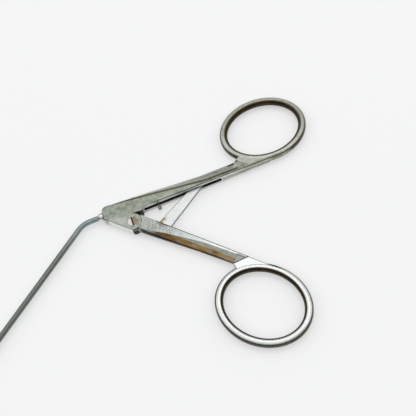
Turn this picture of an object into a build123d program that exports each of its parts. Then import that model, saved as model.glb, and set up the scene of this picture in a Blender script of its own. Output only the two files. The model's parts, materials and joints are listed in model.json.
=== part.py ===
from build123d import *
import os
from math import asin, cos, degrees, radians, sin, tan

# Ring-handled micro-laryngeal forceps. Millimetres, +Z up. The origin is on the axis of the
# handles' pivot screw, in the plane that the instrument lies on. The handles are shown at rest,
# held open by their spring; +X runs midway between them, from the pivot to the finger rings.

# ---- driving dimensions -------------------------------------------------------------------
HEAD_HALF = 2.1             # half the thickness of the forked head
HEAD_ROUND = 0.95           # rounding of its rims
MID_HEIGHT = HEAD_HALF      # the handles' middle plane above the plane that they lie on
HANDLE_ANGLE = 23.5         # each handle's angle to +X at rest
CLOSING_ANGLE = 27.0        # how far the moving handle turns until the stop screw meets it

EAR_RADIUS = 3.45           # rounded end of the fork's cheeks, about the pivot
EAR_GAP = 0.10              # shoulder of the moving handle to the ear
SLOT_HALF = 1.20            # half the width of the fork's slot
TONGUE_HALF = 1.14          # half the thickness of the tongue that turns in it
INNER_EDGE_FIXED = 4.2      # inner wall of the fixed shank, from the line through the pivot
INNER_EDGE_MOVING = 3.65    # the same on the moving shank

RING_LONG = 15.7            # finger ring's centre line, half its length
RING_SHORT = 13.25          # and half its width
RING_RADIAL = 2.95          # ring band, across
RING_HEIGHT = 3.1           # ring band, along Z
RING_CORNER = 1.35          # rounding of the band's section
RING_TURN = 2.5             # the oval's long axis, turned outward from the shank
RING_FIXED = (59.75, 18.7)      # ring centres in their handles' own frames
RING_MOVING = (57.2, -10.2)
WEB_START = 41.5            # the flat web between shank and ring, from the pivot
WEB_HALF = 1.45             # and half its thickness

SCREW_RADIUS = 1.5          # pivot screw's shank
SCREW_HEAD_RADIUS = 1.85
SCREW_HEAD_DEPTH = 0.9
SCREW_THREAD_RADIUS = 1.1
SCREW_SLOT_WIDTH = 0.5
SCREW_SLOT_TURN = -69.0     # the slot's angle to +X as the screw was left
SCREW_PROUD = 0.1

BORE_LINE = 8.05            # the push block's bore, from the line through the pivot
BORE_RADIUS = 1.40
BORE_END = 3.0              # blind end of the bore
HEAD_FRONT = -9.6           # front face of the head
BLOCK_STOP_AT = 2.1         # flush cross pin behind the push block
BLOCK_STOP_RADIUS = 0.6
LEVER_RADIUS = 5.0          # drive pin from the pivot
DRIVE_PIN_RADIUS = 0.6
YOKE_HALF = 0.45            # half the thickness of the yoke that hangs from the push block
PIN_PLAY = 0.03             # running play of pins and sliders, on the radius

TUBE_RADIUS = 1.05
TUBE_BORE = 0.75
TUBE_BEND_AT = -17.8        # corner of the tube's bend, in the fixed handle's frame
TUBE_BEND_RADIUS = 8.0
SHAFT_ANGLE = -117.9        # direction of the straight shaft, from +X
SHAFT_LENGTH = 178.0        # bend's corner to the jaw's pivot
WIRE_RADIUS = 0.40
ROD_RADIUS = 0.44
CRIMP_RADIUS = 0.68
FERRULE_END = -6.2          # inner end of the ferrule and of the tube, in the head
ROD_END = -4.1              # front end of the push rod, from the jaw's pivot

STRUT_PIVOT = (10.7, -1.8)  # rivet of the spring strut, from the pivot
STRUT_LENGTH = 22.5
STRUT_THICKNESS = 1.0
GROOVE_HALF = 0.9           # half the width of the groove in the fixed shank
GROOVE_FLOOR = 7.4
STRUT_NOSE_LINE = 5.6       # where the strut's nose runs in the groove
STRUT_NOSE_RADIUS = 1.4
STRUT_RIVET_RADIUS = 0.62
STOP_SCREW_AT = 11.3        # the stop screw, along the groove
STOP_SCREW_RADIUS = 0.45

JAW_LENGTH = 12.5           # jaw pivot to the jaws' tips
JAW_OPENING = 42.0
JAW_PIVOT_LINE = -0.9       # jaw pivot and cam pin, from the shaft's axis
CAM_LINE = 0.45
CAM_PIN_RADIUS = 0.3
JAW_PIN_RADIUS = 0.4
JAW_HALF_WIDTH = 1.25
ARM_HALF = 0.27             # half the thickness of the moving jaw's arm
TOOTH_PITCH = 0.7
TOOTH_DEPTH = 0.3
TEETH = 12
TEETH_START = 3.1           # first tooth, from the jaw's pivot

# ---- values that follow from them ------------------------------------------------------------
STROKE = 2 * LEVER_RADIUS * sin(radians(CLOSING_ANGLE / 2))
PUSH_AT_REST = STROKE / 2   # drive pin's place along the bore, from square to the pivot
TUBE_END = SHAFT_LENGTH - 6.0   # front end of the tube, past the bend's corner


def in_frame(angle, shape):
    """Move a shape from a handle's own frame, whose x runs along the shank, into place."""
    return Location((0, 0, MID_HEIGHT), (0, 0, angle)) * shape


def fixed(shape):
    return in_frame(HANDLE_ANGLE, shape)


def moving(shape):
    return in_frame(-HANDLE_ANGLE, shape)


def turned(point, angle):
    """A flat point, turned about the pivot."""
    c, s = cos(radians(angle)), sin(radians(angle))
    return (point[0] * c - point[1] * s, point[0] * s + point[1] * c)


BEND_CORNER = turned((TUBE_BEND_AT, BORE_LINE), HANDLE_ANGLE)
SHAFT_DIRECTION = turned((1, 0), SHAFT_ANGLE)


def shaft(shape):
    """Move a shape from the shaft's frame into place.

    Its x runs along the shaft to the tips, from the jaw's pivot, and its y to the moving jaw.
    """
    origin = (BEND_CORNER[0] + SHAFT_LENGTH * SHAFT_DIRECTION[0],
              BEND_CORNER[1] + SHAFT_LENGTH * SHAFT_DIRECTION[1], MID_HEIGHT)
    return Plane(origin=origin, x_dir=(*SHAFT_DIRECTION, 0), z_dir=(0, 0, -1)).location * shape


def slab(outline, half, centre=0.0):
    """A flat outline, given thickness on both sides of a level."""
    face = make_face(outline)
    return Location((0, 0, centre)) * extrude(face, amount=half, both=True)


def disc(x, y, radius, half, centre=0.0):
    return Location((x, y, centre)) * Cylinder(radius, 2 * half)


def along_x(radius, start, end, y=0.0):
    """A round bar along x."""
    return Location(((start + end) / 2, y, 0), (0, 90, 0)) * Cylinder(radius, abs(end - start))


def block(x_range, y_range, half, centre=0.0):
    size = (x_range[1] - x_range[0], y_range[1] - y_range[0])
    middle = (sum(x_range) / 2, sum(y_range) / 2, centre)
    return Location(middle) * Box(size[0], size[1], 2 * half)


# ---- handles -----------------------------------------------------------------------------------
def shank_section(station, inner, flat, outer, wall, half):
    """One section of a shank: flat faces, a plain inner wall and bevels to the outer side."""
    outline = Polyline((inner, -half), (flat, -half), (outer, -wall), (outer, wall),
                       (flat, half), (inner, half), close=True)
    plane = Plane(origin=(station, 0, 0), x_dir=(0, 1, 0), z_dir=(1, 0, 0))
    return plane * make_face(outline)


def shank(stations):
    return loft([shank_section(*values) for values in stations], ruled=True)


def handle_end(centre, inner, side):
    """An oval ring with a band of rounded section, and the flat web that joins it to a shank."""
    place = Location((*centre, 0), (0, 0, side * RING_TURN))
    path = Edge.make_ellipse(RING_LONG, RING_SHORT)
    start = Plane(origin=(RING_LONG, 0, 0), x_dir=(1, 0, 0), z_dir=(0, 1, 0))
    band = start * RectangleRounded(RING_RADIAL, RING_HEIGHT, RING_CORNER)
    ring = place * sweep(band, path=path)
    x = centre[0]
    outline = Polyline((WEB_START, inner), (x - 3, inner), (x - 3, inner + side * 2.6),
                       (x - 8.5, inner + side * 4.0), (x - 13, inner + side * 6.2),
                       (x - 15.5, inner + side * 4.4), (WEB_START, inner + side), close=True)
    web = slab(outline, WEB_HALF)
    rims = [e for e in web.edges() if abs(e.center().Y - inner) < 0.01 and abs(e.center().Z) > 1]
    hole = place * extrude(Ellipse(RING_LONG, RING_SHORT), amount=RING_HEIGHT, both=True)
    return ring + (fillet(rims, 0.4) - hole)


FIXED_STATIONS = [          # station, inner wall, flat's edge, outer side, wall, half thickness
    (-6.0, INNER_EDGE_FIXED, 10.3, 10.95, 1.25, HEAD_HALF),
    (3.0, INNER_EDGE_FIXED, 9.5, 10.45, 1.2, HEAD_HALF),
    (10.0, INNER_EDGE_FIXED, 8.4, 10.15, 0.9, HEAD_HALF),
    (20.0, INNER_EDGE_FIXED, 6.7, 9.45, 0.5, 2.0),
    (30.0, INNER_EDGE_FIXED, 5.3, 8.9, 0.25, 1.85),
    (47.0, INNER_EDGE_FIXED, 4.8, 8.9, 0.2, WEB_HALF),
]
MOVING_STATIONS = [
    (1.4, INNER_EDGE_MOVING, -1.1, -1.75, 0.7, HEAD_HALF),
    (8.0, INNER_EDGE_MOVING, -0.9, -1.7, 0.6, HEAD_HALF),
    (14.0, INNER_EDGE_MOVING, 0.4, -1.45, 0.4, 2.05),
    (28.0, INNER_EDGE_MOVING, 2.4, -0.75, 0.3, 1.85),
    (47.0, INNER_EDGE_MOVING, 3.1, -0.35, 0.2, 1.5),
]


def head_outline():
    """The forked head seen from above, in the fixed handle's frame."""
    nose_round = 1.9
    nose_top = 11.0
    nose_low = 6.1
    shank_start = (FIXED_STATIONS[0][0], FIXED_STATIONS[0][3])
    rear_low = (shank_start[0] + 0.5, 9.6)
    rear_top = (8.0, 8.6)
    heel = (-1.2, -3.4)
    ear_low = -105.5
    ear_high = 86.5
    low_start = (HEAD_FRONT + 0.6, nose_low - 1.25)
    ear_from = (EAR_RADIUS * cos(radians(ear_low)), EAR_RADIUS * sin(radians(ear_low)))
    ear_to = (EAR_RADIUS * cos(radians(ear_high)), EAR_RADIUS * sin(radians(ear_high)))
    crotch = (5.0, ear_to[1] - 4.8 * tan(radians(90 - ear_high)))
    return [
        Line(rear_top, rear_low),
        Line(rear_low, shank_start),
        Line(shank_start, (HEAD_FRONT + nose_round, nose_top)),
        ThreePointArc((HEAD_FRONT + nose_round, nose_top),
                      (HEAD_FRONT + 0.3 * nose_round, nose_top - 0.3 * nose_round),
                      (HEAD_FRONT, nose_top - nose_round)),
        Line((HEAD_FRONT, nose_top - nose_round), (HEAD_FRONT, nose_low)),
        ThreePointArc((HEAD_FRONT, nose_low), (HEAD_FRONT + 0.14, nose_low - 0.85), low_start),
        ThreePointArc(low_start, (-5.3, 0.9), heel),
        Line(heel, ear_from),
        ThreePointArc(ear_from, (EAR_RADIUS, 0), ear_to),
        Line(ear_to, crotch),
        Line(crotch, (crotch[0], INNER_EDGE_FIXED)),
        Line((crotch[0], INNER_EDGE_FIXED), (rear_top[0], INNER_EDGE_FIXED)),
        Line((rear_top[0], INNER_EDGE_FIXED), rear_top),
    ]


def head_plate():
    plate = slab(head_outline(), HEAD_HALF)
    rims = [e for e in plate.edges()
            if abs(abs(e.center().Z) - HEAD_HALF) < 0.01 and e.center().X < -3
            and (e.center().Y < 5 or e.center().X < FIXED_STATIONS[0][0])]
    return fillet(rims, HEAD_ROUND)


def fork_slot():
    """Room between the cheeks for the tongue, its lever and the hanging yoke."""
    ceiling = LEVER_RADIUS + 1.45
    outline = Polyline((-2.9, ceiling), (-2.9, 0), (-2.19, -2.05), (4.6, -9.4), (9.0, -9.4),
                       (9.0, 3.4), (3.6, 3.4), (3.6, ceiling), close=True)
    chimney = block((-2.6, 2.7), (ceiling - 0.5, BORE_LINE), SLOT_HALF)
    return slab(outline, SLOT_HALF) + disc(0, 0, 3.0, SLOT_HALF) + chimney


def strut_groove():
    """The lengthwise groove with round ends, in the fixed shank's inner wall."""
    start, end = 6.5, 36.0
    slot = block((start, end), (0.0, GROOVE_FLOOR), GROOVE_HALF)
    ends = [Location((x, GROOVE_FLOOR / 2, 0), (90, 0, 0)) * Cylinder(GROOVE_HALF, GROOVE_FLOOR)
            for x in (start, end)]
    return slot + ends[0] + ends[1]


def across(x, radius, low, high):
    """A round bar across a shank, along its y."""
    return Location((x, (low + high) / 2, 0), (90, 0, 0)) * Cylinder(radius, high - low)


def fixed_handle():
    body = head_plate() + shank(FIXED_STATIONS)
    body += handle_end(RING_FIXED, INNER_EDGE_FIXED, 1)
    body -= fork_slot()
    body -= strut_groove()
    body -= along_x(BORE_RADIUS, HEAD_FRONT - 1, BORE_END, BORE_LINE)
    body -= disc(0, 0, SCREW_RADIUS, HEAD_HALF, HEAD_HALF)
    body -= disc(0, 0, SCREW_HEAD_RADIUS, SCREW_HEAD_DEPTH, HEAD_HALF)
    body -= disc(0, 0, SCREW_THREAD_RADIUS, HEAD_HALF, -HEAD_HALF)
    body -= disc(BLOCK_STOP_AT, BORE_LINE, BLOCK_STOP_RADIUS, HEAD_HALF)
    body -= across(STOP_SCREW_AT, STOP_SCREW_RADIUS, GROOVE_FLOOR - 1, GROOVE_FLOOR + 1.8)
    return fixed(body)


def tongue():
    """The thin part of the moving handle inside the fork, with its forked lever."""
    lever = block((0, LEVER_RADIUS), (-1.3, 1.3), TONGUE_HALF)
    lever += disc(LEVER_RADIUS, 0, 1.15, TONGUE_HALF)
    root = slab(Polyline((0, 2.6), (4.5, 3.3), (4.5, -1.3), (2.2, -1.6), (0, -2.6), close=True),
                TONGUE_HALF)
    rest_turn = Location((0, 0, 0), (0, 0, 90 + 2 * HANDLE_ANGLE - CLOSING_ANGLE / 2))
    body = disc(0, 0, 2.85, TONGUE_HALF) + root + rest_turn * lever
    body -= rest_turn * block((3.3, LEVER_RADIUS + 2), (-3, 3), YOKE_HALF + 0.06)
    return body - rest_turn * disc(LEVER_RADIUS, 0, DRIVE_PIN_RADIUS, TONGUE_HALF)


def strut_pocket():
    """Room in the moving shank for the strut's foot to turn about its rivet."""
    x, y = turned(STRUT_PIVOT, HANDLE_ANGLE)
    wedge = Polyline((x, y - 3.05), (x + 2.1, y - 2.9), (x + 7.5, y + 0.7), (x + 7.5, y + 1.6),
                     (x, y + 1.6), close=True)
    half = STRUT_THICKNESS / 2 + 0.05
    return disc(x, y, 3.05, half) + slab(wedge, half)


def moving_handle():
    slant = Polyline((45.5, 3.7), (41.2, -1.5), (50, -1.5), (50, 3.7), close=True)
    body = shank(MOVING_STATIONS) - slab(slant, HEAD_HALF)
    body += handle_end(RING_MOVING, INNER_EDGE_MOVING, -1)
    body -= disc(0, 0, EAR_RADIUS + EAR_GAP, HEAD_HALF + 1)
    body += tongue()
    body -= disc(0, 0, SCREW_RADIUS + PIN_PLAY, HEAD_HALF + 1)
    body -= strut_pocket()
    body -= disc(*turned(STRUT_PIVOT, HANDLE_ANGLE), STRUT_RIVET_RADIUS, HEAD_HALF + 1)
    return moving(body)


# ---- screws, pins and the spring ---------------------------------------------------------------
def pivot_screw():
    """Slotted screw: a flush head, a plain shank through the tongue, a thread in the far cheek."""
    head_top = HEAD_HALF + SCREW_PROUD
    head_low = HEAD_HALF - SCREW_HEAD_DEPTH
    head = disc(0, 0, SCREW_HEAD_RADIUS, (head_top - head_low) / 2, (head_top + head_low) / 2)
    head = fillet(head.edges().group_by(Axis.Z)[-1], 0.22)
    stem_low = -SLOT_HALF
    stem = disc(0, 0, SCREW_RADIUS, (head_low - stem_low) / 2, (head_low + stem_low) / 2)
    thread = disc(0, 0, SCREW_THREAD_RADIUS, (HEAD_HALF - SLOT_HALF) / 2,
                  -(HEAD_HALF + SLOT_HALF) / 2)
    slot = block((-3, 3), (-SCREW_SLOT_WIDTH / 2, SCREW_SLOT_WIDTH / 2), 0.6, head_top)
    body = head + stem + thread - Location((0, 0, 0), (0, 0, SCREW_SLOT_TURN)) * slot
    return in_frame(0, body)


def stop_screw():
    """Small headed screw in the groove; its head meets the other shank when they close."""
    thread = across(STOP_SCREW_AT, STOP_SCREW_RADIUS, GROOVE_FLOOR, GROOVE_FLOOR + 1.6)
    stem = across(STOP_SCREW_AT, 0.38, 2.9, GROOVE_FLOOR)
    head = across(STOP_SCREW_AT, 0.7, 1.75, 2.9)
    head = fillet(head.edges(), 0.15)
    return fixed(thread + stem + head)


def groove_spring():
    """Leaf that lies along the groove's floor and bears on the strut's nose."""
    leaf = block((6.2, 35.0), (GROOVE_FLOOR - 0.3, GROOVE_FLOOR), GROOVE_HALF - 0.1)
    leaf -= across(STOP_SCREW_AT, 0.4, GROOVE_FLOOR - 1, GROOVE_FLOOR + 1)
    return fixed(leaf)


def block_stop_pin():
    return fixed(disc(BLOCK_STOP_AT, BORE_LINE, BLOCK_STOP_RADIUS, HEAD_HALF))


def drive_pin():
    place = turned((LEVER_RADIUS, 0), 90 + HANDLE_ANGLE - CLOSING_ANGLE / 2)
    return in_frame(0, disc(*place, DRIVE_PIN_RADIUS, TONGUE_HALF - 0.02))


def strut_rivet():
    return in_frame(0, disc(*STRUT_PIVOT, STRUT_RIVET_RADIUS, HEAD_HALF))


def strut_angle(closed_by):
    """The strut's angle to the fixed shank, with its nose on its line in the groove."""
    pivot = turned(STRUT_PIVOT, closed_by - HANDLE_ANGLE)
    return degrees(asin((STRUT_NOSE_LINE - pivot[1]) / STRUT_LENGTH))


def spring_strut():
    """Tapered flat strut: its foot turns on the rivet and its nose slides in the groove."""
    foot = 2.0
    heel = -2.9
    outline = [
        Line((0, foot), (STRUT_LENGTH, STRUT_NOSE_RADIUS)),
        ThreePointArc((STRUT_LENGTH, STRUT_NOSE_RADIUS),
                      (STRUT_LENGTH + STRUT_NOSE_RADIUS, 0), (STRUT_LENGTH, -STRUT_NOSE_RADIUS)),
        Line((STRUT_LENGTH, -STRUT_NOSE_RADIUS), (0.4, heel)),
        ThreePointArc((0.4, heel), (-1.85, -0.75), (0, foot)),
    ]
    body = slab(outline, STRUT_THICKNESS / 2)
    body -= disc(0, 0, STRUT_RIVET_RADIUS + PIN_PLAY, STRUT_THICKNESS)
    return Location((*STRUT_PIVOT, MID_HEIGHT), (0, 0, HANDLE_ANGLE + strut_angle(0))) * body


# ---- drive from the lever to the shaft -------------------------------------------------------
def push_block():
    """Slider in the head's bore with a hanging yoke for the drive pin and a stem for the crimp."""
    slider = along_x(BORE_RADIUS - PIN_PLAY, -2.6, BLOCK_STOP_AT - BLOCK_STOP_RADIUS - 0.05,
                     BORE_LINE)
    stem = along_x(ROD_RADIUS, -5.2, -2.6, BORE_LINE)
    low = LEVER_RADIUS * cos(radians(CLOSING_ANGLE / 2)) - PIN_PLAY
    high = LEVER_RADIUS + PIN_PLAY
    centre = PUSH_AT_REST
    yoke = block((centre - 1.05, centre + 1.05), (low, 7.3), YOKE_HALF)
    yoke += disc(centre, low, 1.05, YOKE_HALF)
    play = DRIVE_PIN_RADIUS + 0.045
    window = block((centre - play, centre + play), (low, high), 1)
    window += disc(centre, low, play, 1) + disc(centre, high, play, 1)
    return fixed(slider + stem + (yoke - window))


def rear_wire_crimp():
    """Sleeve on the block's stem; the wire's end lies in its open front."""
    sleeve = along_x(CRIMP_RADIUS, -8.6, -4.0, BORE_LINE)
    return fixed(sleeve - along_x(ROD_RADIUS, -9, -3, BORE_LINE))


def bent_path(rear, beyond):
    """The tube's centre line, from a station in the head to a distance past the bend."""
    start = turned((rear, BORE_LINE), HANDLE_ANGLE)
    end = [BEND_CORNER[i] + beyond * SHAFT_DIRECTION[i] for i in (0, 1)]
    points = [(p[0], p[1], MID_HEIGHT) for p in (start, BEND_CORNER, end)]
    return FilletPolyline(*points, radius=TUBE_BEND_RADIUS)


def bent_bar(radius, rear, beyond):
    path = bent_path(rear, beyond)
    section = Plane(origin=path @ 0, z_dir=path % 0) * Circle(radius)
    return sweep(section, path=path)


def shaft_tube():
    return bent_bar(TUBE_RADIUS, FERRULE_END, TUBE_END) - bent_bar(TUBE_BORE, FERRULE_END, TUBE_END)


def flex_wire():
    return bent_bar(WIRE_RADIUS, -7.7, 10.0)


def shaft_ferrule():
    """Round-nosed collar that holds the tube in the head's bore."""
    ball = Location((HEAD_FRONT - 0.75, BORE_LINE, 0)) * Sphere(1.65)
    ball -= block((HEAD_FRONT, HEAD_FRONT + 3), (BORE_LINE - 3, BORE_LINE + 3), 3)
    spigot = along_x(BORE_RADIUS, HEAD_FRONT, FERRULE_END, BORE_LINE)
    return fixed(ball + spigot - along_x(TUBE_RADIUS, -14, -5, BORE_LINE))


def front_wire_crimp():
    """Sleeve on the push rod's rear end; the wire's front end lies in it."""
    start = 6.6 - SHAFT_LENGTH
    return shaft(along_x(CRIMP_RADIUS, start, start + 4.9) - along_x(ROD_RADIUS, start - 1, 0))


def front_push_rod():
    return shaft(along_x(ROD_RADIUS, 10.1 - SHAFT_LENGTH, ROD_END))


def rod_fork():
    """Two thin prongs that straddle the moving jaw's arm and carry the cam pin."""
    pin_x = -STROKE / 2
    body = block((ROD_END, pin_x), (-0.4, CAM_LINE + 0.45), 0.6)
    body += disc(pin_x, CAM_LINE, 0.45, 0.6)
    body -= block((ROD_END + 0.8, 2), (-1, 2), ARM_HALF + 0.03)
    body -= block((ROD_END + 0.8, 2), (-1, 0), 1)
    return shaft(body - disc(pin_x, CAM_LINE, CAM_PIN_RADIUS, 1))


def cam_pin():
    return shaft(disc(-STROKE / 2, CAM_LINE, CAM_PIN_RADIUS, 0.6))


# ---- jaws ----------------------------------------------------------------------------------------
def bite_line(level):
    """The zigzag where the jaws meet, from the root to the tip."""
    points = [(2.4, level)]
    for i in range(TEETH):
        x = TEETH_START + i * TOOTH_PITCH
        points += [(x, level), (x + TOOTH_PITCH / 2, level + TOOTH_DEPTH)]
    return points + [(TEETH_START + TEETH * TOOTH_PITCH, level)]


def jaw_housing():
    """Collar, two cheeks and the fixed jaw."""
    tip = JAW_LENGTH
    low = Polyline((-4.6, -1.5), (-3.8, -2.0), (1.0, -2.0), (tip - 0.9, -0.95), (tip, -0.45),
                   (tip, -0.15), *reversed(bite_line(-0.15)), (2.4, 1.55), (-3.8, 1.55),
                   (-4.6, 1.3), close=True)
    body = slab(low, JAW_HALF_WIDTH + 0.1)
    sweep_room = slab([CenterArc((0, JAW_PIVOT_LINE), 2.5, 0, 360)], 3)
    cut = block((0, 3), (-0.15, 3), 3) - sweep_room
    body -= cut
    body += along_x(1.55, -9.0, -4.0)
    body -= block((-4.2, 2.75), (-1.75, 3), 0.65)
    body -= along_x(TUBE_RADIUS, -10, -6)
    body -= along_x(TUBE_BORE, -7, -4)
    return shaft(body - disc(0, JAW_PIVOT_LINE, JAW_PIN_RADIUS, 2))


def cam_slot():
    """The cam pin's path in the moving jaw, which makes the jaw turn evenly with the rod."""
    def pin_place(closed_part):
        x = (closed_part - 0.5) * STROKE
        return turned((x, CAM_LINE - JAW_PIVOT_LINE), -JAW_OPENING * (1 - closed_part))
    path = ThreePointArc(pin_place(0), pin_place(0.5), pin_place(1))
    play = CAM_PIN_RADIUS + 0.04
    return slab(SlotArc(path, 2 * play).edges(), 1)


def moving_jaw():
    """Toothed jaw with a hub on the jaw pin and a thin arm that the cam pin drives."""
    reach = 2.6
    tip = JAW_LENGTH
    teeth = [(x, y + 0.06) for x, y in bite_line(-0.15)]
    blade = slab(Polyline(*teeth, (tip, -0.09), (tip, 0.35), (tip - 0.9, 0.85), (3.2, 1.45),
                          (1.2, 1.6), (1.2, -0.09), close=True), JAW_HALF_WIDTH)
    blade -= disc(0, JAW_PIVOT_LINE, reach, 3)
    arm = slab(Polyline((-0.72, 0), (-0.68, 1.9), (-0.35, 2.4), (0.5, 2.45), (1.3, 2.42),
                        (3.2, 2.3), (3.2, 0.93), (2.5, 0.8), (0.72, 0), close=True), ARM_HALF)
    arm -= cam_slot()
    hub = disc(0, 0, 0.75, 0.6)
    hub_and_arm = Location((0, JAW_PIVOT_LINE, 0)) * (hub + arm)
    closed = blade + hub_and_arm - disc(0, JAW_PIVOT_LINE, JAW_PIN_RADIUS + PIN_PLAY, 2)
    hinge = Location((0, JAW_PIVOT_LINE, 0))
    return shaft(hinge * Location((0, 0, 0), (0, 0, JAW_OPENING)) * hinge.inverse() * closed)


def jaw_pivot_pin():
    return shaft(disc(0, JAW_PIVOT_LINE, JAW_PIN_RADIUS, JAW_HALF_WIDTH + 0.1))


PARTS = {
    "fixed_handle": fixed_handle, "moving_handle": moving_handle, "pivot_screw": pivot_screw,
    "stop_screw": stop_screw, "groove_spring": groove_spring, "block_stop_pin": block_stop_pin,
    "drive_pin": drive_pin, "strut_rivet": strut_rivet, "spring_strut": spring_strut,
    "push_block": push_block, "rear_wire_crimp": rear_wire_crimp, "flex_wire": flex_wire,
    "shaft_tube": shaft_tube, "shaft_ferrule": shaft_ferrule,
    "front_wire_crimp": front_wire_crimp, "front_push_rod": front_push_rod,
    "rod_fork": rod_fork, "cam_pin": cam_pin, "jaw_housing": jaw_housing,
    "moving_jaw": moving_jaw, "jaw_pivot_pin": jaw_pivot_pin,
}

os.makedirs("parts", exist_ok=True)
for name, make in PARTS.items():
    export_step(make(), f"parts/{name}.step")
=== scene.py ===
import json
import math

import bpy
from mathutils import Matrix, Vector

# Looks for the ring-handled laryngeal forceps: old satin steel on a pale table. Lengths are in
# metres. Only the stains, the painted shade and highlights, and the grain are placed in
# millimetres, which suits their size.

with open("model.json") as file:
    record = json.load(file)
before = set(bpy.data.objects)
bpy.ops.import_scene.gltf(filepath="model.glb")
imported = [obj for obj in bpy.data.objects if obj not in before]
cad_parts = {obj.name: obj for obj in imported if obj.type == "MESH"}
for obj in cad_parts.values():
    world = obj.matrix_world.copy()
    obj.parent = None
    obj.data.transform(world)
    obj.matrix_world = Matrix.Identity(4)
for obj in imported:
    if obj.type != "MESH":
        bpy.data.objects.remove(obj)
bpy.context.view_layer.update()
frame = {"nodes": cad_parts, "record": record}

MM = 0.001
EDGE_ROUND = 0.12 * MM                 # rounding that the light shows on sharp edges
STRUT_ANGLE = math.radians(54.3)       # the spring strut's direction at rest
SLOT_ANGLE = math.radians(-69)         # the pivot screw's slot


# ---- places read from the frame --------------------------------------------------------------
def slide_angle(name):
    """A slide's direction, as an angle from +X."""
    joints = frame["record"]["behaviour"]["joints"]
    slide = next(joint for joint in joints if joint["name"] == name)
    return math.atan2(slide["axis"][1], slide["axis"][0])


def ring_centre(name, angle):
    """The middle of a finger ring's opening, in its handle's turned frame, in millimetres."""
    openings = frame["record"]["physics"]["openings"]
    low, high = next(opening for opening in openings if opening["name"] == name)["box_m"]
    middle = (Vector(low) + Vector(high)) / (2 * MM)
    return Matrix.Rotation(-angle, 3, "Z") @ middle


HANDLE_ANGLE = slide_angle("block_slide") + math.pi    # the block slides away from the rings
SHAFT_ANGLE = slide_angle("rod_slide")
RING_FIXED = ring_centre("fixed_ring", HANDLE_ANGLE)
RING_MOVING = ring_centre("moving_ring", -HANDLE_ANGLE)
MIDDLE = RING_FIXED.z                  # height of the handles' middle plane


# ---- shader nodes ------------------------------------------------------------------------------
def rgb(red, green, blue):
    return (red, green, blue, 1.0)


class Nodes:
    """Short forms for building one shader's nodes."""

    def __init__(self, tree):
        self.tree = tree
        tree.nodes.clear()

    def put(self, socket, value):
        """Link the input when given a socket, and set it when given any other value."""
        if isinstance(value, bpy.types.NodeSocket):
            self.tree.links.new(value, socket)
        else:
            socket.default_value = value

    def add(self, kind, inputs=None, **settings):
        node = self.tree.nodes.new("ShaderNode" + kind)
        for name, value in settings.items():
            setattr(node, name, value)
        for name, value in (inputs or {}).items():
            self.put(node.inputs[name], value)
        return node

    def calc(self, operation, first, second, clamp=False):
        node = self.add("Math", {0: first, 1: second}, operation=operation, use_clamp=clamp)
        return node.outputs[0]

    def blend(self, factor, first, second):
        """Mix two colours."""
        node = self.add("Mix", {0: factor, 6: first, 7: second}, data_type="RGBA")
        return node.outputs[2]

    def step(self, value, low, high):
        """0 at low, 1 at high, smooth between; low may be the larger."""
        node = self.add("MapRange", {0: value, 1: low, 2: high},
                        interpolation_type="SMOOTHSTEP")
        return node.outputs[0]

    def band(self, value, low, high, soft):
        """1 between low and high, fading over the soft width outside them."""
        return self.both(self.step(value, low - soft, low), self.step(value, high + soft, high))

    def both(self, *masks):
        """1 only where every mask is."""
        result = masks[0]
        for mask in masks[1:]:
            result = self.calc("MULTIPLY", result, mask)
        return result

    def noise(self, place, scale, detail=3.0, rough=0.5, distortion=0.0):
        inputs = {"Vector": place, "Scale": scale, "Detail": detail, "Roughness": rough,
                  "Distortion": distortion}
        return self.add("TexNoise", inputs).outputs["Fac"]


class Surface(Nodes):
    """A material's colour and masks, in millimetres, in a frame turned about the pivot."""

    def __init__(self, tree, angle):
        super().__init__(tree)
        coords = self.add("TexCoord")
        turn = {"Rotation": (0, 0, -angle)}
        self.place = self.add("Mapping", {"Vector": coords.outputs["Object"], **turn,
                                          "Scale": (1 / MM, 1 / MM, 1 / MM)}).outputs[0]
        self.normal = self.add("Mapping", {"Vector": coords.outputs["Normal"], **turn},
                               vector_type="NORMAL").outputs[0]
        self.x, self.y, self.z = self.add("SeparateXYZ", {0: self.place}).outputs
        self.nx, self.ny, self.nz = self.add("SeparateXYZ", {0: self.normal}).outputs
        self.cloud = self.noise(self.place, 0.55, 4.0, 0.62, 0.4)
        self.speckle = self.noise(self.place, 3.6, 3.0, 0.7)

    def stretched(self, along, across):
        """Coordinates squeezed along the frame's x, for brushed grain."""
        return self.add("Mapping", {"Vector": self.place,
                                    "Scale": (along, across, across)}).outputs[0]

    def broken(self, low, high):
        """A mask of small speckles, which keeps a painted line from looking ruled."""
        return self.step(self.speckle, low, high)

    def above(self, start, end):
        """Height in y above a line between two points, level before and after them."""
        line = self.add("MapRange", {0: self.x, 1: start[0], 2: end[0], 3: start[1],
                                     4: end[1]}).outputs[0]
        return self.calc("SUBTRACT", self.y, line)

    def lay(self, amount, colour, *masks):
        """Lay a colour over the base where all the masks are."""
        self.base = self.blend(self.calc("MULTIPLY", self.both(*masks), amount), self.base, colour)


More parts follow.
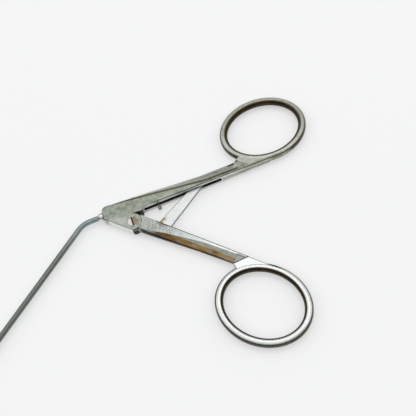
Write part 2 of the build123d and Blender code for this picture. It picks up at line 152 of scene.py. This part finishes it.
# ---- steel -------------------------------------------------------------------------------------
def patina(skin, colour, dark, grain, mottle, stain):
    """Mottled base colour with brushed grain, olive clouds and dark pits; returns the pits."""
    skin.base = rgb(*colour)
    skin.lay(mottle, rgb(*dark), skin.step(skin.cloud, 0.3, 0.7))
    skin.lay(mottle * 0.55, rgb(*[part * 0.62 for part in dark]), skin.broken(0.42, 0.72))
    brushed = skin.noise(skin.stretched(0.25, 9.0), 1.0, 2.0, 0.6)
    skin.lay(grain, rgb(*[min(1.0, part * 1.35) for part in colour]), skin.step(brushed, 0.35, 0.8))
    skin.lay(stain, rgb(0.20, 0.17, 0.09), skin.step(skin.noise(skin.place, 0.23, 3.0, 0.6), 0.5, 0.72),
             skin.broken(0.3, 0.6))
    cells = skin.add("TexVoronoi", {"Vector": skin.place, "Scale": 0.9, "Randomness": 1.0})
    pits = skin.both(skin.step(cells.outputs["Distance"], 0.15, 0.08), skin.step(skin.cloud, 0.45, 0.6))
    skin.lay(0.7, rgb(0.07, 0.055, 0.04), pits)
    return pits


def worn_edges(skin, rounded, wear):
    """Bright worn metal on the edges; returns where."""
    flat = skin.add("NewGeometry").outputs["Normal"]
    lean = skin.add("VectorMath", {0: rounded, 1: flat}, operation="DOT_PRODUCT").outputs["Value"]
    edge = skin.both(skin.step(lean, 0.995, 0.93), skin.broken(0.3, 0.55))
    skin.lay(wear, rgb(0.86, 0.86, 0.84), edge)
    return edge


def dirt_and_shade_in_corners(skin, grime_and_shade):
    """Black dirt and painted shade in the corners, found by ambient occlusion; returns where."""
    open_air = skin.add("AmbientOcclusion", {"Distance": 1.3 * MM}, samples=6).outputs["AO"]
    dirt_and_shade = skin.both(skin.step(open_air, 0.85, 0.25), skin.step(skin.cloud, 0.1, 0.45))
    # Painted shade with dirt: black where ambient occlusion finds a corner.
    skin.lay(grime_and_shade, rgb(0.035, 0.03, 0.022), dirt_and_shade)
    return dirt_and_shade


def surface_roughness(skin, rough, fine, dirt_and_shade, edge):
    """Cloudy roughness, more where the corners hold dirt and painted shade, and less on worn edges."""
    result = skin.calc("ADD", skin.calc("MULTIPLY", skin.cloud, 0.22), rough - 0.11)
    result = skin.calc("ADD", result, skin.calc("MULTIPLY", fine, 0.10))
    result = skin.calc("ADD", result, skin.calc("MULTIPLY", dirt_and_shade, 0.25))
    return skin.calc("SUBTRACT", result, skin.calc("MULTIPLY", edge, 0.08), clamp=True)


def relief(skin, rounded, fine, pits, bump):
    """Normals with fine grain, speckle, pits and scratches."""
    seed = skin.noise(skin.stretched(0.22, 3.4), 1.6, 1.0, 0.4, 1.4)
    scratches = skin.band(seed, 0.492, 0.508, 0.012)
    height = skin.calc("MULTIPLY", fine, 0.35)
    height = skin.calc("ADD", height, skin.calc("MULTIPLY", skin.speckle, 0.35))
    height = skin.calc("SUBTRACT", height, skin.calc("MULTIPLY", pits, 1.2))
    height = skin.calc("SUBTRACT", height, skin.calc("MULTIPLY", scratches, 0.5))
    return skin.add("Bump", {"Strength": bump, "Distance": 0.03 * MM, "Height": height,
                             "Normal": rounded}).outputs[0]


def steel(name, colour, dark, rough, angle=0.0, grain=0.25, mottle=0.5, stain=0.25, grime_and_shade=0.8,
          wear=0.5, bump=0.25, paint=None):
    """Worn satin steel in a frame turned by the angle; paint adds one part's own stains, painted shade
    and painted highlights.
    """
    material = bpy.data.materials.new(name)
    material.use_nodes = True
    skin = Surface(material.node_tree, angle)
    pits = patina(skin, colour, dark, grain, mottle, stain)
    if paint:
        paint(skin)
    rounded = skin.add("Bevel", {"Radius": EDGE_ROUND}, samples=4).outputs[0]
    edge = worn_edges(skin, rounded, wear)
    dirt_and_shade = dirt_and_shade_in_corners(skin, grime_and_shade)
    fine = skin.noise(skin.stretched(0.5, 22.0), 1.0, 2.0, 0.6)
    shader = skin.add("BsdfPrincipled", {
        "Base Color": skin.base,
        "Metallic": skin.calc("SUBTRACT", 1.0, skin.calc("MULTIPLY", dirt_and_shade, 0.6)),
        "Roughness": surface_roughness(skin, rough, fine, dirt_and_shade, edge),
        "Normal": relief(skin, rounded, fine, pits, bump),
    })
    skin.put(skin.add("OutputMaterial").inputs["Surface"], shader.outputs[0])
    return material


# ---- stains, painted shade and painted highlights of single parts, in millimetres from the pivot ---
OLIVE = rgb(0.17, 0.14, 0.065)
DEEP_OLIVE = rgb(0.11, 0.095, 0.04)
RUST = rgb(0.26, 0.10, 0.045)
AMBER = rgb(0.42, 0.21, 0.045)
# Near black: real tarnish in the amber streak, and painted shade on walls, edges, notches and rims.
TARNISH_AND_SHADE = rgb(0.028, 0.023, 0.015)
SHADE = rgb(0.008, 0.008, 0.007)
PALE = rgb(0.84, 0.86, 0.86)

FIXED_INNER = 4.2           # inner wall of the fixed shank, from the line through the pivot
MOVING_INNER = 3.65         # the same on the moving shank
FIXED_RIDGE = ((-4.0, 10.3), (31.0, 5.3))       # where the fixed shank's flat meets its bevel
MOVING_OUTER = ((8.0, -1.7), (34.0, -0.6))      # outer side of the moving shank
GROOVE = (5.9, 36.6)        # ends of the groove's black
GROOVE_BACK = 7.6           # the black ends just past the groove's floor
GROOVE_HALF = 0.85          # and stays just inside its side walls
CUT_LEAN = 0.827            # slanting cut between the moving shank and its web: x for each y
CUT_AT = 42.45              # and its x on the line through the pivot
RING_REACH = 17.4           # everything of a ring lies this near to its centre


def paint_ring(skin, centre, crown_highlight, end):
    """Painted shade on the inner wall (olive, then black-olive), a painted highlight on the crown,
    painted shade on the rim, and red-brown spots on a finger ring.
    """
    offset = skin.add("VectorMath", {0: skin.place, 1: centre}, operation="SUBTRACT").outputs[0]
    outward = skin.add("VectorMath", {0: offset}, operation="NORMALIZE").outputs[0]
    facing = skin.add("VectorMath", {0: outward, 1: skin.normal}, operation="DOT_PRODUCT")
    inward = skin.calc("MULTIPLY", facing.outputs["Value"], -1.0)
    away = skin.add("VectorMath", {0: offset}, operation="LENGTH").outputs["Value"]
    ring = skin.both(skin.step(away, RING_REACH + 0.6, RING_REACH), end)
    # Painted highlight: a pale band along the crown, on faces turned up.
    skin.lay(crown_highlight, PALE, ring, skin.band(inward, -0.55, -0.12, 0.12), skin.step(skin.nz, 0.4, 0.7))
    # Painted shade: dark on the outward-facing rim.
    skin.lay(0.9, TARNISH_AND_SHADE, ring, skin.step(inward, -0.66, -0.80), skin.broken(0.2, 0.5))
    # Painted shade on the inner wall: olive at first, near black deeper in.
    skin.lay(0.9, OLIVE, ring, skin.step(inward, 0.02, 0.25), skin.broken(0.15, 0.4))
    skin.lay(0.92, TARNISH_AND_SHADE, ring, skin.step(inward, 0.2, 0.45))
    skin.lay(0.65, RUST, ring, skin.broken(0.52, 0.62),
             skin.step(skin.noise(skin.place, 0.35), 0.48, 0.58))


def paint_fixed_bevel(skin):
    """Painted reflection making the bevel pale, a painted shade line along its ridge, and painted shade
    in the corner by the ring.
    """
    above = skin.above(*FIXED_RIDGE)
    shank = skin.both(skin.step(skin.x, -7.0, -3.0), skin.step(skin.x, 46.0, 43.0),
                      skin.step(skin.nz, 0.1, 0.3))
    # Painted reflection: the bevel below the ridge made pale.
    skin.lay(0.55, rgb(0.62, 0.64, 0.60), shank, skin.step(above, 0.45, 0.9))
    # Painted shade: a dark olive line along the ridge.
    skin.lay(0.92, DEEP_OLIVE, shank, skin.band(above, -0.3, 0.5, 0.3), skin.broken(0.15, 0.35))
    # Painted shade in the corner by the ring.
    skin.lay(0.9, TARNISH_AND_SHADE, skin.band(skin.x, 41.5, 44.5, 1.0), skin.band(skin.y, 8.3, 9.6, 0.7))


def paint_head(skin):
    """Painted reflection making the low rim and low side of the head pale, painted shade in the fork's
    notches, and a painted highlight on the top toward the low rim.
    """
    # Painted reflection: the low rim and low side made pale.
    skin.lay(0.85, rgb(0.9, 0.91, 0.89), skin.step(skin.nz, 0.95, 0.8), skin.step(skin.ny, -0.1, -0.35),
             skin.step(skin.x, -0.8, -1.4), skin.step(skin.y, 5.0, 3.5))
    # Painted shade: dark walls in the fork's notches.
    skin.lay(0.95, TARNISH_AND_SHADE, skin.step(skin.nz, 0.6, 0.3), skin.band(skin.x, -0.8, 6.2, 0.3),
             skin.step(skin.y, FIXED_INNER + 0.05, FIXED_INNER - 0.05))
    # Painted highlight: the top made paler toward the low rim.
    skin.lay(0.45, PALE, skin.step(skin.nz, 0.9, 0.99), skin.step(skin.x, 1.0, -6.0),
             skin.step(skin.y, 7.0, 1.0))


def paint_groove(skin):
    """Painted shade in the groove, a painted reflection on the pale inner wall with its olive seam, and
    a painted shade line along the edge above it.
    """
    # Painted shade: black inside the groove.
    skin.lay(0.97, SHADE, skin.band(skin.x, *GROOVE, 0.2),
             skin.band(skin.y, FIXED_INNER + 0.06, GROOVE_BACK, 0.1),
             skin.band(skin.z, MIDDLE - GROOVE_HALF, MIDDLE + GROOVE_HALF, 0.05))
    # Painted reflection: the inner wall made pale; the olive seam is laid on it below.
    wall = skin.both(skin.step(skin.ny, -0.6, -0.9),
                     skin.band(skin.y, FIXED_INNER - 0.02, FIXED_INNER + 0.02, 0.02))
    skin.lay(0.45, PALE, wall)
    skin.lay(0.7, OLIVE, wall, skin.step(skin.x, 36.0, 38.0), skin.band(skin.z, 1.6, 2.0, 0.2),
             skin.step(skin.noise(skin.stretched(0.3, 1.0), 0.5), 0.40, 0.50))
    # Painted shade: a dark line along the top edge above the groove.
    skin.lay(0.9, TARNISH_AND_SHADE, skin.band(skin.y, FIXED_INNER, FIXED_INNER + 0.3, 0.12),
             skin.step(skin.nz, 0.6, 0.9), skin.step(skin.x, 8.0, 12.0), skin.broken(0.1, 0.3))


def paint_fixed(skin):
    """The bevel, head and groove, olive specks toward the ring, and the ring."""
    paint_fixed_bevel(skin)
    paint_head(skin)
    paint_groove(skin)
    skin.lay(0.6, OLIVE, skin.step(skin.x, 41.0, 48.0), skin.broken(0.2, 0.7))
    paint_ring(skin, RING_FIXED, 0.45, skin.step(skin.y, FIXED_INNER + 0.4, FIXED_INNER + 1.2))


def paint_moving_bevel(skin):
    """Painted highlight on the flat, with dark speckles near the pivot; amber streak over black
    tarnish; painted shade along the outer edge and on the inner wall.
    """
    shank_end = skin.step(skin.x, 44.0, 41.0)
    shank = skin.both(skin.step(skin.x, 7.0, 13.0), shank_end)
    # Painted highlight: the flat top made pale.
    skin.lay(0.8, PALE, skin.step(skin.nz, 0.985, 0.998), skin.step(skin.x, 6.0, 34.0))
    bevel = skin.step(skin.nz, 0.97, 0.9)
    above = skin.above(*MOVING_OUTER)
    amber = skin.both(shank, bevel, skin.band(above, 0.4, 1.75, 0.35),
                      skin.step(skin.noise(skin.stretched(0.2, 1.6), 1.0, 3.0, 0.65), 0.30, 0.46))
    skin.lay(0.88, AMBER, amber)
    skin.lay(0.6, TARNISH_AND_SHADE, amber, skin.step(skin.noise(skin.stretched(0.15, 2.4), 1.3), 0.5, 0.62))
    # Painted shade: black along the outer edge of the bevel.
    skin.lay(0.95, TARNISH_AND_SHADE, skin.step(skin.x, 3.0, 5.0), shank_end, bevel, skin.step(above, 0.65, 0.3))
    # Painted highlight: the top near the pivot made paler, then dark speckles on it.
    near = skin.both(skin.step(skin.x, 24.0, 12.0), skin.step(skin.nz, 0.9, 0.99))
    skin.lay(0.45, PALE, near)
    skin.lay(0.75, rgb(0.13, 0.14, 0.12), near,
             skin.step(skin.noise(skin.place, 2.1, 3.0, 0.75), 0.49, 0.55))
    # Painted shade on the inner wall.
    skin.lay(0.85, TARNISH_AND_SHADE, shank, skin.step(skin.ny, 0.6, 0.8))


def paint_moving(skin):
    """The bevel, rust by the strut's foot, the ring, a painted highlight on its web, and painted shade
    in the corner and lines round the web.
    """
    paint_moving_bevel(skin)
    skin.lay(0.8, rgb(0.22, 0.12, 0.05), skin.step(skin.noise(skin.place, 0.5, 3.0, 0.6), 0.36, 0.46),
             skin.band(skin.x, 9.0, 13.0, 1.0), skin.step(skin.y, 2.7, 3.3))
    cut = skin.calc("SUBTRACT", skin.x, skin.calc("MULTIPLY", skin.y, CUT_LEAN))
    web = skin.step(cut, CUT_AT - 0.15, CUT_AT + 0.15)
    paint_ring(skin, RING_MOVING, 0.9, web)
    # Painted highlight: the web's top made pale.
    skin.lay(0.95, PALE, web, skin.step(skin.nz, 0.9, 0.97))
    # Painted shade: dark grey-olive between the shank's end and the cut.
    skin.lay(0.8, rgb(0.20, 0.21, 0.16), skin.step(skin.x, 41.0, 41.6),
             skin.step(cut, CUT_AT + 0.15, CUT_AT - 0.15),
             skin.step(skin.y, MOVING_INNER - 0.35, MOVING_INNER - 0.55))
    # Painted shade: a dark line along the slanting cut.
    skin.lay(0.9, TARNISH_AND_SHADE, skin.band(cut, CUT_AT - 0.25, CUT_AT + 0.15, 0.15), skin.broken(0.1, 0.3))
    # Painted shade: a dark line along the inner edge.
    skin.lay(0.92, TARNISH_AND_SHADE, skin.step(skin.x, 7.0, 9.0), skin.step(skin.x, 60.0, 55.0),
             skin.step(skin.y, MOVING_INNER - 0.35, MOVING_INNER - 0.17), skin.broken(0.1, 0.3))


def paint_tube(skin):
    """Blue-grey at the bend, turning dark olive-grey along the shaft."""
    skin.lay(0.75, rgb(0.15, 0.15, 0.12), skin.step(skin.x, 2.0, 26.0))


def paint_strut(skin):
    """Bright face with a painted shade line along one edge, a rusty foot, and painted shade on both
    side walls, grey on one and near black on the other.
    """
    # Painted shade: one side wall grey.
    skin.lay(0.7, rgb(0.30, 0.31, 0.30), skin.step(skin.ny, 0.5, 0.8))
    side = skin.calc("ADD", skin.y, skin.calc("MULTIPLY", skin.x, 0.027))
    # Painted shade: a dark line along one edge of the face.
    skin.lay(0.75, rgb(0.16, 0.165, 0.14), skin.step(side, -7.95, -7.75), skin.broken(0.1, 0.4))
    skin.lay(0.85, rgb(0.32, 0.17, 0.05), skin.step(skin.x, 9.6, 7.6), skin.step(side, -9.3, -8.4),
             skin.step(skin.noise(skin.place, 0.8, 3.0, 0.6), 0.40, 0.50))
    # Painted shade: the other side wall near black.
    skin.lay(0.9, rgb(0.06, 0.055, 0.04), skin.step(skin.ny, -0.5, -0.8))


def paint_screw(skin):
    """Brown over one half of the head, and painted shade in the slot."""
    skin.lay(0.85, rgb(0.27, 0.17, 0.09), skin.step(skin.y, -0.1, 0.35))
    # Painted shade: black in the slot.
    skin.lay(0.97, rgb(0.006, 0.006, 0.005), skin.band(skin.y, -0.27, 0.27, 0.06))


# ---- the materials, and the pieces that have them ------------------------------------------------
FINISHES = [
    (steel("satin steel, fixed handle", (0.49, 0.53, 0.46), (0.20, 0.22, 0.17), 0.34,
           HANDLE_ANGLE, mottle=0.8, stain=0.4, paint=paint_fixed),
     ["fixed_handle", "block_stop_pin"]),
    (steel("satin steel, moving handle", (0.47, 0.51, 0.45), (0.23, 0.25, 0.20), 0.32,
           -HANDLE_ANGLE, mottle=0.65, paint=paint_moving),
     ["moving_handle"]),
    (steel("polished steel, pivot screw", (0.86, 0.85, 0.82), (0.60, 0.55, 0.48), 0.2,
           SLOT_ANGLE, mottle=0.3, stain=0.15, bump=0.12, paint=paint_screw),
     ["pivot_screw"]),
    (steel("polished steel", (0.80, 0.79, 0.77), (0.55, 0.50, 0.44), 0.17, mottle=0.3,
           stain=0.15, bump=0.12),
     ["shaft_ferrule", "jaw_pivot_pin", "cam_pin", "drive_pin"]),
    (steel("spring steel", (0.84, 0.86, 0.85), (0.62, 0.64, 0.62), 0.30, STRUT_ANGLE,
           mottle=0.25, stain=0.08, grime_and_shade=0.5, paint=paint_strut),
     ["spring_strut", "groove_spring"]),
    (steel("ground steel", (0.34, 0.34, 0.31), (0.20, 0.195, 0.17), 0.34),
     ["strut_rivet", "stop_screw", "push_block", "rear_wire_crimp", "flex_wire",
      "front_wire_crimp", "front_push_rod", "rod_fork"]),
    (steel("tube steel", (0.36, 0.43, 0.45), (0.20, 0.24, 0.25), 0.30, SHAFT_ANGLE,
           grain=0.35, stain=0.3, paint=paint_tube),
     ["shaft_tube"]),
    (steel("jaw steel", (0.50, 0.50, 0.48), (0.30, 0.30, 0.27), 0.30, SHAFT_ANGLE),
     ["jaw_housing", "moving_jaw"]),
]
for material, nodes in FINISHES:
    for node in nodes:
        mesh = frame["nodes"][node].data
        mesh.materials.clear()
        mesh.materials.append(material)


# ---- table, light and camera -----------------------------------------------------------------
def table():
    """A pale table, a hair below the instrument; its own glow keeps the shadows faint."""
    bpy.ops.mesh.primitive_plane_add(size=6, location=(0, 0, -0.2 * MM))
    plane = bpy.context.object
    plane.name = "table"
    material = bpy.data.materials.new("pale table")
    material.use_nodes = True
    inputs = material.node_tree.nodes["Principled BSDF"].inputs
    inputs["Base Color"].default_value = rgb(0.62, 0.62, 0.625)
    inputs["Roughness"].default_value = 0.8
    inputs["Specular IOR Level"].default_value = 0.1
    inputs["Emission Color"].default_value = rgb(1.0, 1.0, 1.0)
    inputs["Emission Strength"].default_value = 0.45
    plane.data.materials.append(material)


def softbox(name, place, target, size, power):
    data = bpy.data.lights.new(name, "AREA")
    data.shape = "RECTANGLE"
    data.size, data.size_y = size
    data.energy = power
    lamp = bpy.data.objects.new(name, data)
    lamp.location = place
    lamp.rotation_euler = (Vector(target) - Vector(place)).to_track_quat("-Z", "Y").to_euler()
    bpy.context.collection.objects.link(lamp)


def room():
    """Soft pale room with a darker low front; the camera itself sees plain pale."""
    world = bpy.data.worlds.new("room")
    bpy.context.scene.world = world
    world.use_nodes = True
    sky = Nodes(world.node_tree)
    direction = sky.add("SeparateXYZ", {0: sky.add("TexCoord").outputs["Generated"]})
    front, up = direction.outputs[1], direction.outputs[2]
    low_front = sky.both(sky.step(up, 0.62, 0.30), sky.step(front, 0.25, -0.2))
    colour = sky.blend(sky.step(up, 0.55, 0.95), rgb(0.50, 0.51, 0.49), rgb(0.80, 0.81, 0.82))
    colour = sky.blend(sky.calc("MULTIPLY", low_front, 0.9), colour, rgb(0.05, 0.045, 0.04))
    seen = sky.add("LightPath").outputs["Is Camera Ray"]
    colour = sky.blend(seen, colour, rgb(0.90, 0.90, 0.905))
    background = sky.add("Background", {"Color": colour, "Strength": 1.0})
    sky.put(sky.add("OutputWorld").inputs["Surface"], background.outputs[0])


def camera():
    """Looks down at the handles from in front, rolled about its own axis."""
    aim = Vector((27.2, 7.3, 0.0)) * MM
    distance = 261.1 * MM
    azimuth, elevation, roll = (math.radians(turn) for turn in (-74.3, 58.6, -15.0))
    level = Vector((-math.sin(azimuth), math.cos(azimuth), 0))
    back = Vector((math.cos(azimuth) * math.cos(elevation),
                   math.sin(azimuth) * math.cos(elevation), math.sin(elevation)))
    turn = Matrix((level, back.cross(level), back)).transposed() @ Matrix.Rotation(roll, 3, "Z")
    data = bpy.data.cameras.new("camera")
    data.sensor_width = 36.0
    data.lens = 60.6
    data.clip_start = 0.01
    data.clip_end = 20.0
    lens = bpy.data.objects.new("camera", data)
    lens.matrix_world = Matrix.Translation(aim + distance * back) @ turn.to_4x4()
    bpy.context.collection.objects.link(lens)
    bpy.context.scene.camera = lens


table()
room()
softbox("overhead", (0.10, 0.30, 0.90), (0.02, 0.0, 0.0), (0.45, 0.35), 0.75)
softbox("left", (-0.9, 0.1, 0.7), (0.0, 0.0, 0.0), (0.8, 0.8), 1.2)
softbox("right", (0.9, 0.2, 0.6), (0.0, 0.0, 0.0), (0.6, 0.6), 0.8)
camera()
bpy.context.scene.view_settings.view_transform = "Standard"
